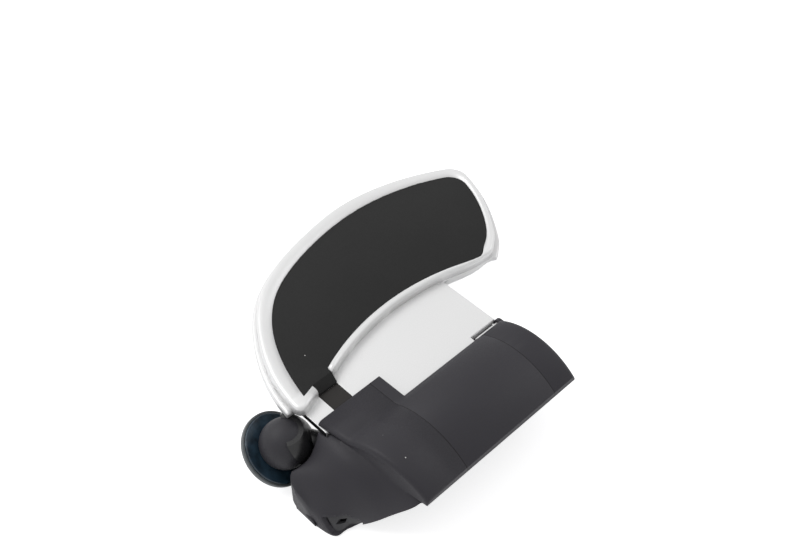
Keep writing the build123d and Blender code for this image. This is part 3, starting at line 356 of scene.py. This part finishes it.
def soften_edges(piece, radius):
    """Round the edges that turn sharply."""
    bevel = piece.modifiers.new("soft_edges", "BEVEL")
    bevel.width = radius
    bevel.segments = ROUND_STEPS
    bevel.limit_method = "ANGLE"
    bevel.angle_limit = SHARP_FROM
    return bevel


for name, radius in EDGE_ROUNDS.items():
    join_facets(nodes[name])
    soften_edges(nodes[name], radius).harden_normals = True
print("softened", len(EDGE_ROUNDS), "pieces")

# %% [markdown]
# ## The crescent's heel and the nose, smoothed
# The grip's heel is a broad round on the real object. Copies of the crescent's shells and of its pad are
# pressed in at that corner: each point moves inwards in one direction, by an amount that fades like a bell
# curve with the distance from the corner, so the layers keep their order. The nose is a moulded, flowing
# form: its copy keeps its shape, but its shading runs smoothly over all shallow angles.

# %% Copies that are pressed in or smoothed
HEEL = Vector((72.6, 31.0)) * MM             # corner of the bezel's outline
HEEL_INWARD = Vector((-0.23, 0.97)).normalized()
HEEL_PRESS = 3.4 * MM
HEEL_REACH = 8.0 * MM
SMOOTH_BELOW = math.radians(40)
NOSE_SMOOTH_BELOW = math.radians(50)
PAD_ROUND = 0.35 * MM


def press_heel(mesh):
    """Move the points round the heel inwards, most at the corner."""
    for vertex in mesh.vertices:
        distance = (vertex.co.xy - HEEL).length
        shift = HEEL_INWARD * HEEL_PRESS * math.exp(-(distance / HEEL_REACH) ** 2)
        vertex.co.x += shift.x
        vertex.co.y += shift.y


def refined(node_name, name, body, smooth_below, edge_round=0.0, pressed=False):
    """A copy of a CAD node that stands for it: welded, its sharp edges rounded and the rest smooth."""
    node = nodes[node_name]
    data = node.data.copy()
    data.transform(node.matrix_world)
    if pressed:
        press_heel(data)
    copy = bpy.data.objects.new(name + "_copy", data)
    bpy.context.scene.collection.objects.link(copy)
    join_facets(copy)
    if edge_round:
        soften_edges(copy, edge_round)
    evaluated = copy.evaluated_get(bpy.context.evaluated_depsgraph_get())
    mesh = bpy.data.meshes.new_from_object(evaluated)
    mesh.polygons.foreach_set("use_smooth", [True] * len(mesh.polygons))
    mesh.set_sharp_from_angle(angle=smooth_below)
    mesh.materials.clear()
    mesh.materials.append(node.material_slots[0].material)
    piece = bpy.data.objects.new(name, mesh)
    bpy.context.scene.collection.objects.link(piece)
    bpy.data.objects.remove(copy)
    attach(piece, body)
    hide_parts(node_name)
    print(name, len(mesh.polygons), "faces")


refined("crescent_frame", "bezel", "head", SMOOTH_BELOW, pressed=True)
refined("crescent_back", "crescent_shell", "head", SMOOTH_BELOW, pressed=True)
refined("grip_pad", "soft_pad", "head", SMOOTH_BELOW, edge_round=PAD_ROUND, pressed=True)
refined("left_cover", "nose_cover", "root", NOSE_SMOOTH_BELOW)

# %% [markdown]
# ## Springs
# Two compression springs work inside the housing: one pushes the pawl into the rack, the other pushes the
# button out. A coil is a rule-shaped thing, so a Geometry Nodes tree draws it: a spiral curve, a round wire
# swept along it, and a material. The tree has named inputs, so the same one makes both springs.

# %% Helpers for trees
def new_tree(name, sizes):
    """A Geometry Nodes tree with a named input for each size, and its group's input and output nodes."""
    tree = bpy.data.node_groups.new(name, "GeometryNodeTree")
    tree.interface.new_socket("Geometry", in_out="INPUT", socket_type="NodeSocketGeometry")
    tree.interface.new_socket("Geometry", in_out="OUTPUT", socket_type="NodeSocketGeometry")
    for input_name, value in sizes.items():
        socket = tree.interface.new_socket(input_name, in_out="INPUT", socket_type="NodeSocketFloat")
        socket.default_value = value
    return tree, tree.nodes.new("NodeGroupInput"), tree.nodes.new("NodeGroupOutput")


def swept(tree, path, profile_radius, profile_sides):
    """A spiral path's curve with a closed profile swept along it, capped at both ends."""
    profile = tree.nodes.new("GeometryNodeCurvePrimitiveCircle")
    profile.inputs["Resolution"].default_value = profile_sides
    tree.links.new(profile_radius, profile.inputs["Radius"])
    sweep = tree.nodes.new("GeometryNodeCurveToMesh")
    sweep.inputs["Fill Caps"].default_value = True
    tree.links.new(path, sweep.inputs["Curve"])
    tree.links.new(profile.outputs["Curve"], sweep.inputs["Profile Curve"])
    return sweep.outputs["Mesh"]


def spiral(tree, steps, turns, radius, height):
    """A spiral of even radius up Z, from sockets for its turns, radius and height."""
    node = tree.nodes.new("GeometryNodeCurveSpiral")
    node.inputs["Resolution"].default_value = steps
    tree.links.new(turns, node.inputs["Rotations"])
    for end_name in ("Start Radius", "End Radius"):
        tree.links.new(radius, node.inputs[end_name])
    tree.links.new(height, node.inputs["Height"])
    return node.outputs["Curve"]


def end_tree(tree, geometry, material, end):
    """Smooth shading, plain mesh and material, as every tree here ends."""
    smooth = tree.nodes.new("GeometryNodeSetShadeSmooth")
    realize = tree.nodes.new("GeometryNodeRealizeInstances")
    paint = tree.nodes.new("GeometryNodeSetMaterial")
    paint.inputs["Material"].default_value = material
    tree.links.new(geometry, smooth.inputs["Geometry"])
    tree.links.new(smooth.outputs["Geometry"], realize.inputs["Geometry"])
    tree.links.new(realize.outputs["Geometry"], paint.inputs["Geometry"])
    tree.links.new(paint.outputs["Geometry"], end.inputs["Geometry"])


# %% A tree that winds a spring
WIRE_RADIUS = 0.3 * MM
COIL_RADIUS = 2.3 * MM
STEPS_A_TURN = 32
WIRE_SIDES = 12

# each spring sets its own turns and height
coil_tree, coil_in, coil_out = new_tree("coil_spring", {
    "Turns": 4.0, "Coil Radius": COIL_RADIUS, "Wire Radius": WIRE_RADIUS, "Height": 10 * MM})
coil_sizes = (coil_in.outputs[name] for name in ("Turns", "Coil Radius", "Height"))
coil_path = spiral(coil_tree, STEPS_A_TURN, *coil_sizes)
coil_mesh = swept(coil_tree, coil_path, coil_in.outputs["Wire Radius"], WIRE_SIDES)
end_tree(coil_tree, coil_mesh, spring_steel, coil_out)
print("tree", coil_tree.name, "with", len(coil_tree.nodes), "nodes")

# %% [markdown]
# ## Two springs from one tree
# Each coil fills the length of the construction model's spring and takes its place.

# %% Wind both springs
def grown(name, tree, values, carrier, place):
    """The plain mesh that a tree makes from a carrier mesh, with place applied to its vertices."""
    seed_object = bpy.data.objects.new(name + "_seed", carrier)
    bpy.context.scene.collection.objects.link(seed_object)
    modifier = seed_object.modifiers.new("grow", "NODES")
    modifier.node_group = tree
    inputs = [item for item in tree.interface.items_tree if item.in_out == "INPUT"]
    identifiers = {item.name: item.identifier for item in inputs}
    for input_name, value in values.items():
        modifier[identifiers[input_name]] = value
    evaluated = seed_object.evaluated_get(bpy.context.evaluated_depsgraph_get())
    mesh = bpy.data.meshes.new_from_object(evaluated)
    mesh.transform(place)
    piece = bpy.data.objects.new(name, mesh)
    bpy.context.scene.collection.objects.link(piece)
    bpy.data.objects.remove(seed_object)
    print(name, len(mesh.polygons), "faces")
    return piece


# node, turns, whether it lies along X, the joint that presses it, and by how much
SPRINGS = (("pawl_spring", 4.0, False, "pawl_pivot", 1.2 * MM),
           ("button_spring", 3.0, True, "button_press", 2.5 * MM))
for node_name, turns, along_x, joint, press in SPRINGS:
    low, high = (Vector(corner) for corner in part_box(node_name))
    middle = (low + high) / 2
    height = (high - low).x if along_x else (high - low).z
    turn = Matrix.Rotation(math.radians(90), 4, "Y") if along_x else Matrix.Identity(4)
    foot_point = Vector((low.x, middle.y, middle.z)) if along_x else Vector((middle.x, middle.y, low.z))
    lift_wire = Matrix.Translation((0, 0, WIRE_RADIUS))
    coil = grown(node_name.replace("spring", "coil"), coil_tree,
                 {"Turns": turns, "Height": height - 2 * WIRE_RADIUS}, bpy.data.meshes.new("coil_carrier"),
                 Matrix.Translation(foot_point) @ turn @ lift_wire)
    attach(coil, "root")
    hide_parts(node_name)
    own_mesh(coil)

# %% [markdown]
# ## Screws
# Self-tapping screws hold the covers to the base and the crescent to the plate. Each is a pan head with a
# cross recess and a shank with a coarse thread. They differ only in length, so one tree builds the screw and
# sets an instance of it on each point of a carrier mesh, whose points are the seats of the heads.

# %% A tree that sets a screw on every point
HEAD_RADIUS = 2.3 * MM
HEAD_HEIGHT = 1.6 * MM
SHANK_RADIUS = 1.25 * MM
THREAD_PITCH = 0.9 * MM
CROSS_LENGTH, CROSS_WIDTH = 1.1, 0.24    # of the recess, as shares of the head's radius
CROSS_SINK = 1.05                        # of its middle below the seat, as a share of the head's height
CORE_SHARE = 0.8                         # of the shank's radius, without the thread
THREAD_SHARE = 0.85                      # of the shank's length that has a thread
RIDGE_SHARE = 0.2                        # of the shank's radius, for the ridge of the thread
THREAD_STEPS, RIDGE_SIDES = 24, 4

screw_tree, screw_in, screw_out = new_tree("pan_head_screws", {
    "Head Radius": HEAD_RADIUS, "Head Height": HEAD_HEIGHT, "Shank Radius": SHANK_RADIUS,
    "Shank Length": 6 * MM, "Pitch": THREAD_PITCH})


def math_node(tree, operation, first, second):
    node = tree.nodes.new("ShaderNodeMath")
    node.operation = operation
    for socket, value in zip(node.inputs, (first, second)):
        if isinstance(value, (int, float)):
            socket.default_value = value
        else:
            tree.links.new(value, socket)
    return node.outputs[0]


def moved_up(tree, geometry, height):
    """The geometry, shifted along Z by a socket's value."""
    vector = tree.nodes.new("ShaderNodeCombineXYZ")
    tree.links.new(height, vector.inputs["Z"])
    shift = tree.nodes.new("GeometryNodeTransform")
    tree.links.new(geometry, shift.inputs["Geometry"])
    tree.links.new(vector.outputs["Vector"], shift.inputs["Translation"])
    return shift.outputs["Geometry"]


def cylinder(tree, radius, depth, sides=32):
    node = tree.nodes.new("GeometryNodeMeshCylinder")
    node.inputs["Vertices"].default_value = sides
    tree.links.new(radius, node.inputs["Radius"])
    tree.links.new(depth, node.inputs["Depth"])
    return node.outputs["Mesh"]


screw_sizes = ("Head Radius", "Head Height", "Shank Radius", "Shank Length", "Pitch")
screw_sockets = (screw_in.outputs[name] for name in screw_sizes)
head_radius, head_height, shank_radius, shank_length, pitch = screw_sockets
head = moved_up(screw_tree, cylinder(screw_tree, head_radius, head_height),
                math_node(screw_tree, "MULTIPLY", head_height, -0.5))
recess = screw_tree.nodes.new("GeometryNodeMeshBoolean")
recess.operation = "DIFFERENCE"
screw_tree.links.new(head, recess.inputs["Mesh 1"])
arm_length = math_node(screw_tree, "MULTIPLY", head_radius, CROSS_LENGTH)
arm_width = math_node(screw_tree, "MULTIPLY", head_radius, CROSS_WIDTH)
for along, across in ((arm_length, arm_width), (arm_width, arm_length)):
    arm_size = screw_tree.nodes.new("ShaderNodeCombineXYZ")
    screw_tree.links.new(along, arm_size.inputs["X"])
    screw_tree.links.new(across, arm_size.inputs["Y"])
    screw_tree.links.new(head_height, arm_size.inputs["Z"])
    arm = screw_tree.nodes.new("GeometryNodeMeshCube")
    screw_tree.links.new(arm_size.outputs["Vector"], arm.inputs["Size"])
    sunk = math_node(screw_tree, "MULTIPLY", head_height, -CROSS_SINK)
    screw_tree.links.new(moved_up(screw_tree, arm.outputs["Mesh"], sunk), recess.inputs["Mesh 2"])
core_radius = math_node(screw_tree, "MULTIPLY", shank_radius, CORE_SHARE)
core = moved_up(screw_tree, cylinder(screw_tree, core_radius, shank_length),
                math_node(screw_tree, "MULTIPLY", shank_length, 0.5))
thread_length = math_node(screw_tree, "MULTIPLY", shank_length, THREAD_SHARE)
thread_turns = math_node(screw_tree, "DIVIDE", thread_length, pitch)
thread_path = spiral(screw_tree, THREAD_STEPS, thread_turns, core_radius, thread_length)
ridge_radius = math_node(screw_tree, "MULTIPLY", shank_radius, RIDGE_SHARE)
thread = swept(screw_tree, thread_path, ridge_radius, RIDGE_SIDES)
whole = screw_tree.nodes.new("GeometryNodeJoinGeometry")
for part in (thread, core, recess.outputs["Mesh"]):
    screw_tree.links.new(part, whole.inputs["Geometry"])
spread = screw_tree.nodes.new("GeometryNodeInstanceOnPoints")
screw_tree.links.new(screw_in.outputs["Geometry"], spread.inputs["Points"])
screw_tree.links.new(whole.outputs["Geometry"], spread.inputs["Instance"])
end_tree(screw_tree, spread.outputs["Instances"], screw_steel, screw_out)
print("tree", screw_tree.name, "with", len(screw_tree.nodes), "nodes")

# %% [markdown]
# ## The places of the screws
# The construction model holds the screws of one group as separate solids in one node. A walk along the edges
# from point to point collects each solid, and the solid's box gives its place and the length of its shank.

# %% Set the screws of the housing and of the crescent
def screw_places(node):
    """The seat of the head of each loose solid of a node, and the length that their shanks share."""
    mesh = bmesh.new()
    mesh.from_mesh(node.data)
    bmesh.ops.remove_doubles(mesh, verts=mesh.verts, dist=WELD_DISTANCE)
    left = set(mesh.verts)
    boxes = []
    while left:
        island, front = set(), [left.pop()]
        while front:
            vertex = front.pop()
            island.add(vertex)
            for edge in vertex.link_edges:
                other = edge.other_vert(vertex)
                if other in left:
                    left.remove(other)
                    front.append(other)
        corners = [node.matrix_world @ vertex.co for vertex in island]
        boxes.append([[f(c[i] for c in corners) for i in range(3)] for f in (min, max)])
    mesh.free()
    boxes.sort()                 # a set is walked in any order, and each run has to give the same mesh
    places = [((low[0] + high[0]) / 2, (low[1] + high[1]) / 2, low[2] + HEAD_HEIGHT) for low, high in boxes]
    low, high = boxes[0]
    return places, high[2] - low[2] - HEAD_HEIGHT


for node_name, body in (("housing_screws", "root"), ("head_screws", "head")):
    places, shank = screw_places(nodes[node_name])
    carrier = bpy.data.meshes.new("screw_places")
    carrier.from_pydata(places, [], [])
    screws = grown(node_name.replace("screws", "fixings"), screw_tree, {"Shank Length": shank}, carrier,
                   Matrix.Identity(4))
    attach(screws, body)
    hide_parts(node_name)
